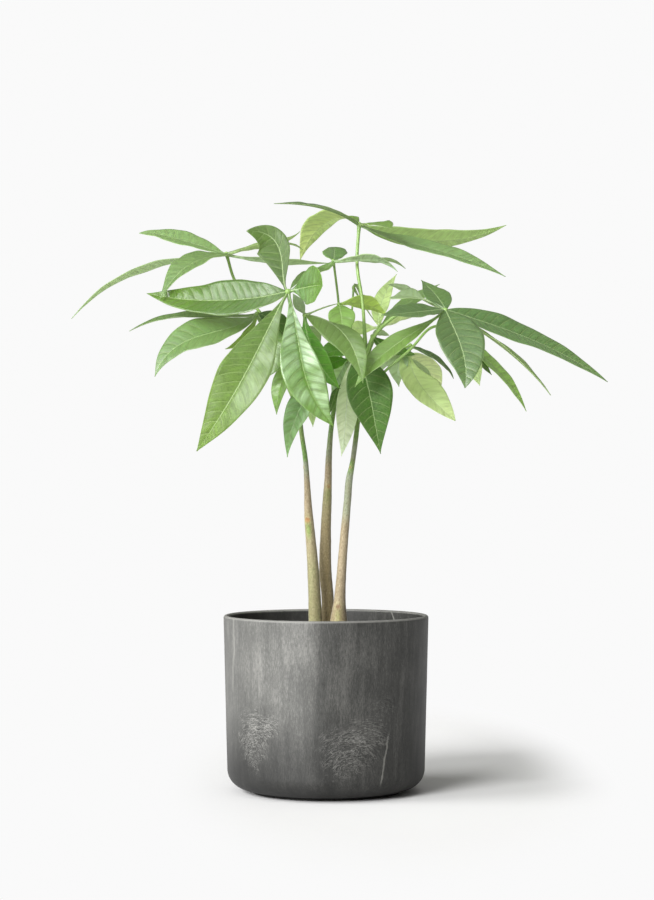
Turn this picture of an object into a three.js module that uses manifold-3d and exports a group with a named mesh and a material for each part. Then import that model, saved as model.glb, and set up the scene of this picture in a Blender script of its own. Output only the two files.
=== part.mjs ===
// Potted money tree: three slender stems of palmate leaves in a stone-look cylinder pot.
// Millimetres, +Z up. The origin is on the ground at the middle of the pot, and -Y is the front.
import * as THREE from 'three';
import { mergeVertices } from 'three/addons/utils/BufferGeometryUtils.js';
import Module from 'manifold-3d';

const wasm = await Module();
wasm.setup();

// Pot
const rimRadius = 95;
const potHeight = 163;
const wallFootRadius = 91.6;
const wallThickness = 4.5;
const cornerRadius = 18.5;
const footRadius = 70;
const footHeight = 3;
const footBevel = 0.8;
const potFloor = 6;
const potSides = 48;
const potSteps = { corner: 5, lip: 4, inside: 3 };

// Soil
const soilTop = 142;
const soilRipple = 1.1;
const soilEdgeDrop = 1;
const soilRings = [0.8, 0.58, 0.36];
const fitGap = 0.3;

// Stems: [x, y, z, radius] from the buried end to the growing tip
const stemSides = 10;
const stemTip = { rise: 0.7, taper: 0.5 };
const stems = {
  trunk_left: [
    [-8, -5, 82, 6.4], [-9, -4, 118, 6.6], [-9.4, -4, 142, 6.8], [-9.9, -4, 160, 6.3],
    [-11.8, -4, 203, 5.4], [-15.3, -4, 246, 4.3], [-16.5, -4, 262, 3.7], [-17.7, -4, 288, 2.7],
    [-19.2, -4, 308, 2.3], [-23.2, -4, 336, 2.1], [-26, -3, 372, 1.9], [-27.6, -2, 404, 1.6],
  ],
  trunk_middle: [
    [4, 12, 82, 6], [3, 12, 118, 6.2], [2, 12, 142, 6.2], [1.4, 12, 179, 5.7],
    [-0.6, 12, 203, 5.8], [-0.2, 12, 241, 4.8], [1.1, 12, 270, 4.2], [2, 12, 290, 3.4],
    [2.6, 12, 308, 3], [4.8, 12, 336, 2.3], [10.4, 12, 372, 2.2], [15.8, 12, 398, 1.7],
  ],
  trunk_right: [
    [11, -5, 82, 8], [11.6, -4, 118, 8.4], [11.4, -4, 142, 8.6], [11.6, -4, 157, 8],
    [12.8, -4, 179, 5.3], [14.4, -4, 203, 4.4], [17.3, -4, 241, 3.9], [20, -4, 270, 3.4],
    [21.4, -4, 288, 3.3], [24.8, -4, 306, 2.4], [29.6, -4, 344, 2.3], [34, -4, 386, 2],
    [37, -4, 420, 1.6],
  ],
};
// Bud scars on the bark: [stem, height, bearing in degrees from +X, width]
const scar = { stretch: 1.5, sunk: 0.25 };
const budScars = [
  ['trunk_left', 252, 250, 3.4],
  ['trunk_left', 300, 200, 2],
  ['trunk_middle', 283, 300, 3],
  ['trunk_middle', 231, 20, 2.6],
  ['trunk_right', 172, 270, 4.6],
  ['trunk_right', 300, 245, 2.6],
];

// Leaves
const knob = { most: 2.8, share: 1.7 };   // radius at a hub, and at most this many times the stalk's
const stalkRings = { sides: 6, step: 16, least: 4, swell: 0.5, swellShare: 1 / 6 };
const ribRings = { step: 14, least: 5, most: 9 };
const blade = {
  edge: 0.62, middle: 1.1, root: 2.2, rootShare: 0.2, rootWidth: 2.4, tipWidth: 1.3, fold: 0.2,
  peak: 0.54, power: 1.15, powerFrom: 0.4, powerTo: 0.8,
};

// Each leaf: its stem and the height where its stalk leaves it, points that the stalk passes
// through, and the hub that carries the leaflets. Each leaflet: points that its midrib passes
// through, counted from the hub and ending at the tip, its width, and where its upper side looks.
// Some have a form of their own: peak is the share of the length where the blade is widest, foot
// and power make its root and its tip blunter the lower they are, leftPeak and leftFoot are the
// left half's, and skew makes the right half wider and the left one narrower.
const leaves = {
  leaf_front: {
    stem: 'trunk_left', height: 392, via: [[-30, -40, 432]], hub: [-34, -80, 457], stalk: 1.7,
    leaflets: [
      {
        rib: [[-5, 12, 21], [-11, 25, 46], [-38, 24, 57]], width: 31, face: [-2, -9, 3],
        peak: 0.65, power: 0.8, skew: -0.3,
      },
      { rib: [[20, -22, 3], [31, -58, 1]], width: 35, face: [-9, -4, 1], peak: 0.6, power: 0.62 },
      { rib: [[-41, 12, -6], [-87, 35, -5], [-131, 60, 3]], width: 40, face: [0, -8, 5], peak: 0.42, power: 1 },
      {
        rib: [[-21, -18, -42], [-44, -30, -87], [-80, -32, -143]], width: 47, face: [-2, -9, 4],
        peak: 0.6, power: 1,
      },
      {
        rib: [[9, -16, -44], [18, -26, -84], [41, -24, -121]], width: 38, face: [2, -9, 4],
        peak: 0.56, leftPeak: 0.64, skew: 0.12,
      },
    ],
  },
  leaf_upper_left: {
    stem: 'trunk_left', height: 400, via: [[-58, 4, 440], [-84, 8, 472]], hub: [-93, 10, 499], stalk: 1.4,
    leaflets: [
      { rib: [[-25, 18, 9], [-56, 40, 20], [-86, 55, 25]], width: 27, face: [0, -5, 9], power: 0.8 },
      {
        rib: [[-20, -18, -6], [-40, -35, -19], [-59, -48, -46]], width: 40, face: [-4, -6, 8],
        peak: 0.42, leftPeak: 0.32, leftFoot: 0.9,
      },
      { rib: [[-50, 8, -7], [-99, 4, -24], [-144, -8, -61]], width: 21, face: [-3, 2, 9] },
      { rib: [[22, 22, 7], [46, 46, 13], [68, 65, 28]], width: 24, face: [-1, 3, 9] },
      { rib: [[30, 2, -6], [62, 8, -8], [97, 16, -7]], width: 16, face: [0, 2.5, 9] },
      { rib: [[26, -16, 5], [52, -32, 7], [72, -40, 0]], width: 14, face: [0, -1, 9] },
    ],
  },
  leaf_crown: {
    stem: 'trunk_right', height: 413, via: [[34, -1, 452], [29, 8, 489]], hub: [31, 14, 527], stalk: 1.5,
    leaflets: [
      { rib: [[-26, -16, 11], [-52, -32, 15], [-79, -42, 15]], width: 22, face: [1, -2, 9], peak: 0.38 },
      { rib: [[-20, 20, 9], [-41, 44, -2], [-56, 62, -28]], width: 40, face: [-4, 5, 8], peak: 0.43 },
      { rib: [[12, -24, -2], [21, -48, -6], [28, -72, -11]], width: 22, face: [0, -4, 9] },
      { rib: [[42, 28, -9], [90, 54, -9], [143, 72, 7]], width: 27, face: [0, 6, 7], peak: 0.48, power: 1 },
      { rib: [[44, -17, -18], [87, -34, -32], [133, -52, -53]], width: 25, face: [0, -4.5, 8] },
    ],
  },
  leaf_right: {
    stem: 'trunk_right', height: 396, via: [[44, -14, 420], [66, -24, 440], [90, -34, 444]],
    hub: [109, -40, 443], stalk: 1.5,
    leaflets: [
      { rib: [[-4, 18, 10], [-10, 46, 21], [-19, 78, 34]], width: 24, face: [0, -6, 9], peak: 0.44 },
      { rib: [[-20, -15, -2], [-40, -31, -5], [-60, -42, -7]], width: 28, face: [0, -5.5, 8], peak: 0.47 },
      {
        rib: [[7, -28, -20], [14, -50, -45], [14, -62, -73]], width: 42, face: [0, -8, 6],
        peak: 0.46, power: 0.95, skew: -0.06,
      },
      { rib: [[47, 9, -14], [99, 22, -34], [152, 34, -64]], width: 29, face: [1, -7, 7], peak: 0.37, power: 0.9 },
      { rib: [[31, -18, -20], [64, -32, -47], [92, -44, -79]], width: 21, face: [5, -1.5, 7] },
      {
        rib: [[-17, 30, 11], [-34, 52, 22], [-50, 68, 29]], width: 14, face: [0, -3, 9],
        peak: 0.78, foot: 2, power: 0.6,
      },
      {
        rib: [[-15, 14, 10], [-31, 28, 15], [-46, 42, 16]], width: 26, face: [0, -5, 8],
        peak: 0.78, foot: 2, power: 0.4,
      },
      {
        rib: [[-28, -10, -20], [-58, -22, -42], [-83, -28, -71]], width: 24, face: [-3, -7, 6],
        peak: 0.58, foot: 1.5,
      },
    ],
  },
  leaf_upper_middle: {
    stem: 'trunk_middle', height: 392, via: [[12, 14, 450]], hub: [7, 15, 493], stalk: 1.1,
    leaflets: [
      { rib: [[1, 30, 8], [1, 62, 19]], width: 24, face: [0, -7, 7], power: 0.7 },
      { rib: [[22, -20, -1], [42, -29, -3], [59, -35, -13]], width: 20, face: [0, 3, 9] },
      { rib: [[24, 16, 2], [48, 34, 4], [69, 48, -3]], width: 13, face: [0, 1, 9] },
      { rib: [[-12, -20, -11], [-27, -40, -19], [-40, -55, -31]], width: 24, face: [-3, -4, 8], peak: 0.42 },
    ],
  },
  leaf_middle: {
    stem: 'trunk_middle', height: 366, via: [[6, 0, 400]], hub: [12, -4, 451], stalk: 1.2,
    leaflets: [
      { rib: [[15, 14, 3], [30, 22, 0], [46, 24, -9]], width: 24, face: [1, 5, 8], peak: 0.46 },
      { rib: [[2, -14, -12], [4, -26, -34]], width: 25, face: [0, -8, 6] },
    ],
  },
  leaf_inner: {
    stem: 'trunk_left', height: 378, via: [[-22, -30, 412]], hub: [-19, -50, 438], stalk: 1.4,
    leaflets: [
      {
        rib: [[25, -14, -9], [42, -24, -29], [52, -30, -63]], width: 29, face: [-1, -8, 6],
        peak: 0.42, leftPeak: 0.66, leftFoot: 2.4, skew: 0.2,
      },
      { rib: [[4, -2, -24], [15, -4, -47], [32, -6, -67]], width: 22, face: [-4, -8, 3] },
      { rib: [[15, -4, 6], [29, -6, 10]], width: 5, face: [0, -1, 9] },
      { rib: [[-5, -6, 9], [-11, -10, 19]], width: 10, face: [-3, -8, 3] },
    ],
  },
  leaf_left: {
    stem: 'trunk_left', height: 348, via: [[-36, -16, 376], [-50, -28, 408]], hub: [-63, -35, 440], stalk: 1.5,
    leaflets: [
      { rib: [[-30, -10, -15], [-66, -16, -27], [-92, -20, -58]], width: 40, face: [-2, -7, 7], peak: 0.52 },
      { rib: [[-40, 16, -1], [-80, 34, -1], [-121, 46, -13]], width: 24, face: [-1, -3, 9] },
      { rib: [[15, -3, -8], [31, -5, -30]], width: 24, face: [2, -8, 5] },
      { rib: [[11, -10, -20], [14, -14, -41], [5, -14, -61]], width: 26, face: [0, -8, 5] },
      { rib: [[-11, 10, -21], [-30, 18, -31]], width: 14, face: [0, -6, 7] },
    ],
  },
  leaf_lower: {
    stem: 'trunk_left', height: 366, via: [[-22, -18, 392]], hub: [-17, -30, 406], stalk: 1.4,
    leaflets: [
      { rib: [[-16, -8, -12], [-25, -12, -34], [-28, -12, -58]], width: 18, face: [-4, -7, 5] },
      { rib: [[3, -14, -30], [-9, -22, -59], [-18, -24, -97]], width: 28, face: [-5, -8, 3] },
      { rib: [[3, 2, -38], [5, 6, -69]], width: 14, face: [0, -8, 1] },
    ],
  },
  leaf_centre: {
    stem: 'trunk_right', height: 372, via: [[34, -20, 394]], hub: [29, -35, 405], stalk: 1.4,
    leaflets: [
      { rib: [[8, -12, -27], [14, -18, -57], [20.5, -18, -93]], width: 42, face: [1, -9, 3], peak: 0.44 },
      { rib: [[-8, 8, -29], [-11, 12, -62], [-15, 12, -95]], width: 21, face: [2, 8, 2] },
    ],
  },
  leaf_stem_top: {
    stem: 'trunk_middle', height: 384, via: [], hub: [20, -15, 399], stalk: 1.3,
    leaflets: [
      { rib: [[-9, -10, 8], [-29, -18, -1]], width: 23, face: [0, -6, 7] },
      { rib: [[-13, -8, -3], [-27, -14, -13]], width: 20, face: [-1, -7, 6] },
      { rib: [[-7, 0, -13], [-15, 0, -30]], width: 13, face: [-2, -8, 3] },
      { rib: [[-10, 0, -28], [-18, 0, -52]], width: 8, face: [-2, -8, 1] },
    ],
  },
  leaf_back: {
    stem: 'trunk_right', height: 390, via: [[42, 12, 412]], hub: [50, 35, 432], stalk: 1.2,
    leaflets: [
      { rib: [[1, 12, 17], [7, 30, 35], [18, 45, 54]], width: 17, face: [-2, -8, 3], peak: 0.46 },
      { rib: [[16, 4, 6], [32, 14, 12], [50, 24, 19]], width: 20, face: [0, 4, 8] },
      { rib: [[-16, -2, -1], [-32, -4, 0]], width: 14, face: [0, -8, 3], peak: 0.6 },
      { rib: [[18, 12, 16], [37, 26, 30], [59, 40, 44]], width: 18, face: [-2, -6, 7] },
    ],
  },
  leaf_lower_right: {
    stem: 'trunk_right', height: 380, via: [[58, 10, 404]], hub: [79, 20, 414], stalk: 1.3,
    leaflets: [
      {
        rib: [[1, -10, -22], [14, -20, -45], [41, -25, -71]], width: 32, face: [2, -8, 5],
        peak: 0.5, leftPeak: 0.68, power: 0.85,
      },
      { rib: [[13, 7, -6], [30, 18, -16], [42, 26, -30]], width: 16, face: [1, -5, 8] },
      { rib: [[-11, -8, -14], [-11, -14, -39]], width: 20, face: [0, -8, 3] },
    ],
  },
  leaf_behind_right: {
    stem: 'trunk_right', height: 366, via: [[56, -14, 390], [78, -12, 409], [97, -6, 429]],
    hub: [120, 12, 432], stalk: 1.3,
    leaflets: [
      { rib: [[24, 8, -25], [49, 22, -49], [70, 34, -79]], width: 20, face: [3, -6, 7] },
      { rib: [[18, 8, -24], [36, 18, -45]], width: 18, face: [3, -6, 6] },
      { rib: [[12, -6, -28], [23, -10, -56]], width: 22, face: [1, -8, 4] },
    ],
  },
  leaf_young: {
    stem: 'trunk_right', height: 405, via: [], hub: [43, 4, 422], stalk: 1.1,
    leaflets: [
      { rib: [[12, 1, -10], [27, 2, -15], [40, 3, -17]], width: 17, face: [0, -6, 7], peak: 0.42, power: 0.8 },
      { rib: [[6, 3, 3], [16, 6, 1]], width: 9, face: [0, -6, 6], power: 0.8 },
    ],
  },
  leaf_folded: {
    stem: 'trunk_middle', height: 386, via: [[22, 22, 408], [24, 28, 440]], hub: [26, 34, 470], stalk: 0.9,
    leaflets: [
      { rib: [[11, 8, -18], [23, 11, -35]], width: 4, face: [8, 0, 5] },
      { rib: [[4, 6, 2], [7, 14, -10]], width: 7, face: [4, 4, 8] },
    ],
  },
  leaf_rear_left: {
    stem: 'trunk_left', height: 384, via: [[-26, 26, 410]], hub: [-24, 60, 430], stalk: 1.4,
    leaflets: [
      { rib: [[-20, 30, 6], [-42, 58, -6], [-56, 80, -34]], width: 30, face: [-2, 5, 8] },
      { rib: [[2, 34, 4], [4, 66, -10], [4, 90, -42]], width: 32, face: [0, 5, 8] },
      { rib: [[22, 26, 4], [44, 48, -8], [56, 66, -36]], width: 28, face: [2, 5, 8] },
      { rib: [[-24, 4, 2], [-46, 8, -14], [-58, 10, -40]], width: 26, face: [-4, 2, 8] },
      { rib: [[0, 10, -24], [2, 14, -50]], width: 18, face: [0, 8, 3] },
    ],
  },
  leaf_rear_right: {
    stem: 'trunk_right', height: 374, via: [[42, 24, 392]], hub: [58, 58, 402], stalk: 1.3,
    leaflets: [
      { rib: [[22, 24, 4], [42, 46, -8], [52, 60, -34]], width: 27, face: [3, 5, 8] },
      { rib: [[-2, 32, 6], [-8, 60, 0], [-14, 84, -22]], width: 28, face: [0, 5, 8] },
      { rib: [[-20, 20, 4], [-34, 38, -4], [-40, 46, -22]], width: 22, face: [-3, 5, 8] },
      { rib: [[20, 4, 0], [36, 8, -12], [46, 10, -34]], width: 22, face: [4, 1, 8] },
    ],
  },
};

// Colours
const potGrey = new THREE.MeshStandardMaterial({ color: '#7d7f7e', roughness: 0.75, metalness: 0 });
const soilBrown = new THREE.MeshStandardMaterial({ color: '#3b2f27', roughness: 0.95, metalness: 0 });
const barkTan = new THREE.MeshStandardMaterial({ color: '#8b8767', roughness: 0.8, metalness: 0 });
const leafGreen = new THREE.MeshStandardMaterial({ color: '#5c8a3d', roughness: 0.4, metalness: 0 });

// Closed solid of a geometry, with its shared corners merged
function toSolid(geometry) {
  const bare = geometry.clone();
  bare.deleteAttribute('normal');
  bare.deleteAttribute('uv');
  const merged = mergeVertices(bare, 1e-4);
  return new wasm.Manifold(new wasm.Mesh({
    numProp: 3,
    vertProperties: new Float32Array(merged.attributes.position.array),
    triVerts: new Uint32Array(merged.index.array),
  }));
}

function toGeometry(solid) {
  const mesh = solid.getMesh();
  const geometry = new THREE.BufferGeometry();
  geometry.setAttribute('position', new THREE.BufferAttribute(new Float32Array(mesh.vertProperties), 3));
  geometry.setIndex(Array.from(mesh.triVerts));
  geometry.computeVertexNormals();
  return geometry;
}

// Skin over a row of rings with the same number of points, closed at both ends.
// On a blade the sides past the middle of the ring are its underside, and are split the
// other way, so that both faces bend along the same lines.
function loft(rings, isBlade = false) {
  const count = rings[0].length;
  const positions = rings.flat().flatMap((point) => point.toArray());
  const index = [];
  for (let i = 0; i + 1 < rings.length; i++) {
    for (let j = 0; j < count; j++) {
      const a = i * count + j;
      const b = i * count + (j + 1) % count;
      const c = b + count;
      const d = a + count;
      if (isBlade && j >= count / 2) index.push(a, b, d, b, c, d);
      else index.push(a, b, c, a, c, d);
    }
  }
  const last = (rings.length - 1) * count;
  for (let j = 1; j + 1 < count; j++) {
    index.push(0, j + 1, j);
    index.push(last, last + j, last + j + 1);
  }
  const geometry = new THREE.BufferGeometry();
  geometry.setAttribute('position', new THREE.Float32BufferAttribute(positions, 3));
  geometry.setIndex(index);
  return geometry;
}

// Round ring about a point, square to a direction
function ring(centre, direction, radius, sides) {
  const turn = new THREE.Quaternion().setFromUnitVectors(new THREE.Vector3(0, 0, 1), direction);
  const points = [];
  for (let j = 0; j < sides; j++) {
    const angle = (2 * Math.PI * j) / sides;
    const point = new THREE.Vector3(radius * Math.cos(angle), radius * Math.sin(angle), 0);
    points.push(point.applyQuaternion(turn).add(centre));
  }
  return points;
}

function vector(xyz) {
  return new THREE.Vector3(xyz[0], xyz[1], xyz[2]);
}

// Stem: rings along a smooth curve through its points, level at both ends, grown by a clearance
function stemSolid(points, clearance) {
  const axis = new THREE.CatmullRomCurve3(points.map(vector));
  const girth = new THREE.CatmullRomCurve3(points.map((point) => new THREE.Vector3(point[3], 0, 0)));
  const steps = 2 * (points.length - 1);
  const rings = [];
  const up = new THREE.Vector3(0, 0, 1);
  for (let i = 0; i <= steps; i++) {
    const radius = girth.getPoint(i / steps).x + clearance;
    const centre = axis.getPoint(i / steps);
    if (i === 0) centre.z -= clearance;
    rings.push(ring(centre, up, radius, stemSides));
  }
  const tip = axis.getPoint(1);
  const tipRadius = points[points.length - 1][3] + clearance;
  rings.push(ring(tip.clone().setZ(tip.z + stemTip.rise * tipRadius), up, stemTip.taper * tipRadius, stemSides));
  return toSolid(loft(rings));
}

// Point on a stem's middle line at a height
function stemPoint(points, height) {
  const axis = new THREE.CatmullRomCurve3(points.map(vector));
  let low = 0;
  let high = 1;
  for (let i = 0; i < 24; i++) {
    const middle = (low + high) / 2;
    if (axis.getPoint(middle).z < height) low = middle;
    else high = middle;
  }
  return axis.getPoint(low);
}

// Midrib: the one curve through the hub and the points given, evenly spaced along it
function midrib(points) {
  const start = new THREE.Vector3();
  const p = points.map(vector);
  if (p.length === 2) {
    const pull = p[0].clone().multiplyScalar(2).addScaledVector(p[1], -0.5);
    return new THREE.QuadraticBezierCurve3(start, pull, p[1]);
  }
  const pullA = p[0].clone().multiplyScalar(3).addScaledVector(p[1], -1.5).addScaledVector(p[2], 1 / 3);
  const pullB = p[0].clone().multiplyScalar(-1.5).addScaledVector(p[1], 3).addScaledVector(p[2], -5 / 6);
  return new THREE.CubicBezierCurve3(start, pullA, pullB, p[2]);
}

// Share of the full width at a place along the blade: wedge at the root, widest at the peak,
// drawn out to a point at the tip
function bladeShape(t, peak, foot, power) {
  const here = THREE.MathUtils.smoothstep(t, blade.powerFrom, blade.powerTo);
  const bluntness = THREE.MathUtils.lerp(foot, power, here);
  return Math.pow(Math.sin(Math.PI * Math.pow(t, Math.log(0.5) / Math.log(peak))), bluntness);
}

// Leaflet: six-sided sections along the midrib, folded up a little from it like a shallow V
function leafletSolid(hub, leaflet) {
  const curve = midrib(leaflet.rib);
  const look = vector(leaflet.face).normalize();
  const { peak = blade.peak, foot = blade.power, power = blade.power, skew = 0 } = leaflet;
  const { leftPeak = peak, leftFoot = foot } = leaflet;
  const steps = THREE.MathUtils.clamp(Math.round(curve.getLength() / ribRings.step), ribRings.least, ribRings.most);
  const rings = [];
  for (let i = 0; i <= steps; i++) {
    const t = i / steps;
    const along = curve.getTangent(t);
    const up = look.clone().addScaledVector(along, -look.dot(along)).normalize();
    const side = new THREE.Vector3().crossVectors(along, up);
    const least = (t < 0.5 ? blade.rootWidth : blade.tipWidth) / 2;
    const rightShare = (1 + skew) * bladeShape(t, peak, foot, power);
    const leftShare = (1 - skew) * bladeShape(t, leftPeak, leftFoot, power);
    const right = Math.max(leaflet.width / 2 * rightShare, least);
    const left = Math.max(leaflet.width / 2 * leftShare, least);
    const root = Math.max(0, 1 - t / blade.rootShare);
    const tip = i === steps ? blade.edge / blade.middle : 1;
    const middle = (blade.middle + (blade.root - blade.middle) * root) / 2 * tip;
    const edge = (blade.edge + (blade.root - blade.edge) * root / 2) / 2;
    const rightLift = blade.fold * (right - least);
    const leftLift = blade.fold * (left - least);
    const at = (s, h) => curve.getPoint(t).add(hub).addScaledVector(side, s).addScaledVector(up, h);
    rings.push([
      at(-left, leftLift + edge), at(0, middle), at(right, rightLift + edge),
      at(right, rightLift - edge), at(0, -middle), at(-left, leftLift - edge),
    ]);
  }
  return toSolid(loft(rings, true));
}

// Leaf: stalk, hub and leaflets in one solid, cut back clear of every stem
function leafSolid(leaf, stemClear) {
  const hub = vector(leaf.hub);
  const base = stemPoint(stems[leaf.stem], leaf.height);
  const path = new THREE.CatmullRomCurve3([base, ...leaf.via.map(vector), hub]);
  const steps = Math.max(stalkRings.least, Math.round(path.getLength() / stalkRings.step));
  const rings = [];
  for (let i = 0; i <= steps; i++) {
    const t = i / steps;
    const swell = 1 + stalkRings.swell * Math.max(0, 1 - t / stalkRings.swellShare);
    rings.push(ring(path.getPoint(t), path.getTangent(t), leaf.stalk * swell, stalkRings.sides));
  }
  let solid = toSolid(loft(rings));
  const radius = Math.min(knob.most, knob.share * leaf.stalk);
  solid = solid.add(toSolid(new THREE.IcosahedronGeometry(radius, 0).translate(hub.x, hub.y, hub.z)));
  for (const leaflet of leaf.leaflets) solid = solid.add(leafletSolid(hub, leaflet));
  return largestPiece(solid.subtract(stemClear));
}

// The cut at a stem can leave a crumb of the stalk on its far side, which is dropped
function largestPiece(solid) {
  return solid.decompose().reduce((best, piece) => (piece.volume() > best.volume() ? piece : best));
}

// Pot: wall with a slight taper, round lip, round lower corner and a low flat foot
function potGeometry() {
  const outline = [[0, 0], [footRadius - footBevel, 0], [footRadius, footBevel], [footRadius, footHeight]];
  for (let i = 0; i <= potSteps.corner; i++) {
    const angle = (Math.PI / 2) * (i / potSteps.corner);
    outline.push([
      wallFootRadius - cornerRadius + cornerRadius * Math.sin(angle),
      footHeight + cornerRadius - cornerRadius * Math.cos(angle),
    ]);
  }
  const lip = wallThickness / 2;
  for (let i = 0; i <= potSteps.lip; i++) {
    const angle = Math.PI * (i / potSteps.lip);
    outline.push([rimRadius - lip + lip * Math.cos(angle), potHeight - lip + lip * Math.sin(angle)]);
  }
  const inner = cornerRadius - wallThickness;
  const innerFoot = wallFootRadius - wallThickness;
  for (let i = 0; i <= potSteps.inside; i++) {
    const angle = (Math.PI / 2) * (1 - i / potSteps.inside);
    outline.push([
      innerFoot - inner + inner * Math.sin(angle),
      footHeight + potFloor + inner - inner * Math.cos(angle),
    ]);
  }
  outline.push([0, footHeight + potFloor]);
  return lathe(outline);
}

// Turned solid of an outline given as [radius, height], standing on +Z
function lathe(outline) {
  const points = outline.map(([radius, height]) => new THREE.Vector2(radius, height));
  return new THREE.LatheGeometry(points, potSides).rotateX(Math.PI / 2);
}

// Inner radius of the pot at a height
function innerRadius(height) {
  const rise = (height - footHeight - cornerRadius) / (potHeight - footHeight - cornerRadius);
  return wallFootRadius - wallThickness + (rimRadius - wallFootRadius) * rise;
}

// Soil: fills the pot up to a gently uneven top, with a plain hole for each stem
function soilSolid(stemClear) {
  const bottom = footHeight + potFloor + fitGap;
  const inner = cornerRadius - wallThickness;
  const reach = innerRadius(footHeight + cornerRadius) - fitGap;
  const outline = [[0, bottom]];
  for (let i = 0; i <= potSteps.inside; i++) {
    const angle = (Math.PI / 2) * (i / potSteps.inside);
    outline.push([reach - inner + inner * Math.sin(angle), bottom + inner - inner * Math.cos(angle)]);
  }
  const edge = innerRadius(soilTop) - fitGap;
  outline.push([edge, soilTop - soilEdgeDrop]);
  for (const share of soilRings) outline.push([edge * share, soilTop]);
  outline.push([0, soilTop]);
  const geometry = lathe(outline);
  const corners = geometry.attributes.position;
  for (let i = 0; i < corners.count; i++) {
    if (corners.getZ(i) < soilTop - soilEdgeDrop / 2) continue;
    const x = corners.getX(i);
    const y = corners.getY(i);
    corners.setZ(i, soilTop + soilRipple * (Math.sin(x / 9) + Math.sin(y / 7 + 1) * Math.cos(x / 13)));
  }
  return toSolid(geometry).subtract(stemClear);
}

const group = new THREE.Group();

function place(name, geometry, material) {
  const mesh = new THREE.Mesh(geometry, material);
  mesh.name = name;
  group.add(mesh);
}

// All stems, grown by the gap that soil and leaf stalks keep to them
let stemClear = null;
for (const points of Object.values(stems)) {
  const grown = stemSolid(points, fitGap);
  stemClear = stemClear ? stemClear.add(grown) : grown;
}

place('pot', potGeometry(), potGrey);
place('soil', toGeometry(soilSolid(stemClear)), soilBrown);

for (const [name, points] of Object.entries(stems)) {
  let solid = stemSolid(points, 0);
  for (const [stem, height, bearing, width] of budScars) {
    if (stem !== name) continue;
    const angle = THREE.MathUtils.degToRad(bearing);
    const centre = stemPoint(points, height);
    const radius = points.find((point) => point[2] >= height)[3];
    const out = radius - scar.sunk * width;
    const bump = new THREE.IcosahedronGeometry(width / 2, 1).scale(1, 1, scar.stretch);
    bump.translate(centre.x + out * Math.cos(angle), centre.y + out * Math.sin(angle), centre.z);
    solid = solid.add(toSolid(bump));
  }
  place(name, toGeometry(solid), barkTan);
}

for (const [name, leaf] of Object.entries(leaves)) {
  place(name, toGeometry(leafSolid(leaf, stemClear)), leafGreen);
}

export default group;
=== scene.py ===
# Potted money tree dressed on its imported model: glossy palmate leaves, speckled bark, stone-look pot
import math
import bpy
import numpy as np
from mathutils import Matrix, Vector


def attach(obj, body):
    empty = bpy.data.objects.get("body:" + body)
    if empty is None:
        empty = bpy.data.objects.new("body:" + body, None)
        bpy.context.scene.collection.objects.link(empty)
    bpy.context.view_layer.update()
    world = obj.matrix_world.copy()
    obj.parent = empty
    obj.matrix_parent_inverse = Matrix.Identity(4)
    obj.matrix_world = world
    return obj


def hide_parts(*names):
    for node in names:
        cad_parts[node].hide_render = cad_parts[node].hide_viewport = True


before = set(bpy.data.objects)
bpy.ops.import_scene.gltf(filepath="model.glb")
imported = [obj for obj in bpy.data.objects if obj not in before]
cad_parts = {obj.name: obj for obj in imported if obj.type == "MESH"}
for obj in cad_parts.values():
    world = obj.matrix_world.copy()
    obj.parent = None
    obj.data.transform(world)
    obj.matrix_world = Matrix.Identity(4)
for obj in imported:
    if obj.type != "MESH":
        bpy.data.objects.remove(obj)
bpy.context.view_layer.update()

metre = 0.001            # shapes are worked out in millimetres and put into meshes in metres


# Colours are written as they look on a screen, 0 to 255, and used as linear light
def linear(colour):
    share = np.asarray(colour, float) / 255
    return np.where(share <= 0.04045, share / 12.92, ((share + 0.055) / 1.055) ** 2.4)


# Vectors in rows, each scaled to a length of 1
def unit(rows):
    return rows / np.maximum(np.linalg.norm(rows, axis=-1, keepdims=True), 1e-12)


# 0 below low, 1 above high, and an even S between them
def ease(low, high, value):
    share = np.clip((value - low) / (high - low), 0, 1)
    return share * share * (3 - 2 * share)


# What lies a share of the way from first to last
def partWay(first, last, share):
    return first + (last - first) * share


# Colours with a fourth number that makes them opaque
def opaque(tint):
    return np.concatenate([tint, np.ones(tint.shape[:-1] + (1,))], axis=-1)


def pathLength(points):
    return np.linalg.norm(np.diff(points, axis=0), axis=1).sum()


# Spline through points, read at shares t of the way: a cubic for each stretch, which is timed by the root
# of its length and runs on smoothly into the next
def splineAt(points, t):
    p = np.asarray(points, float)
    p = np.vstack([2 * p[0] - p[1], p, 2 * p[-1] - p[-2]])
    stretches = len(p) - 3
    i = np.minimum((t * stretches).astype(int), stretches - 1)
    w = (t * stretches - i)[:, None]
    a, b, c, d = p[i], p[i + 1], p[i + 2], p[i + 3]
    gapA, gapB, gapC = (np.sqrt(np.linalg.norm(v, axis=1))[:, None] for v in (b - a, c - b, d - c))
    gapB = np.where(gapB < 1e-4, 1, gapB)
    gapA = np.where(gapA < 1e-4, gapB, gapA)
    gapC = np.where(gapC < 1e-4, gapB, gapC)
    pullB = ((b - a) / gapA - (c - a) / (gapA + gapB) + (c - b) / gapB) * gapB
    pullC = ((c - b) / gapB - (d - b) / (gapB + gapC) + (d - c) / gapC) * gapB
    square = 3 * c - 3 * b - 2 * pullB - pullC
    cube = 2 * b - 2 * c + pullB + pullC
    return b + pullB * w + square * w**2 + cube * w**3


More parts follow.
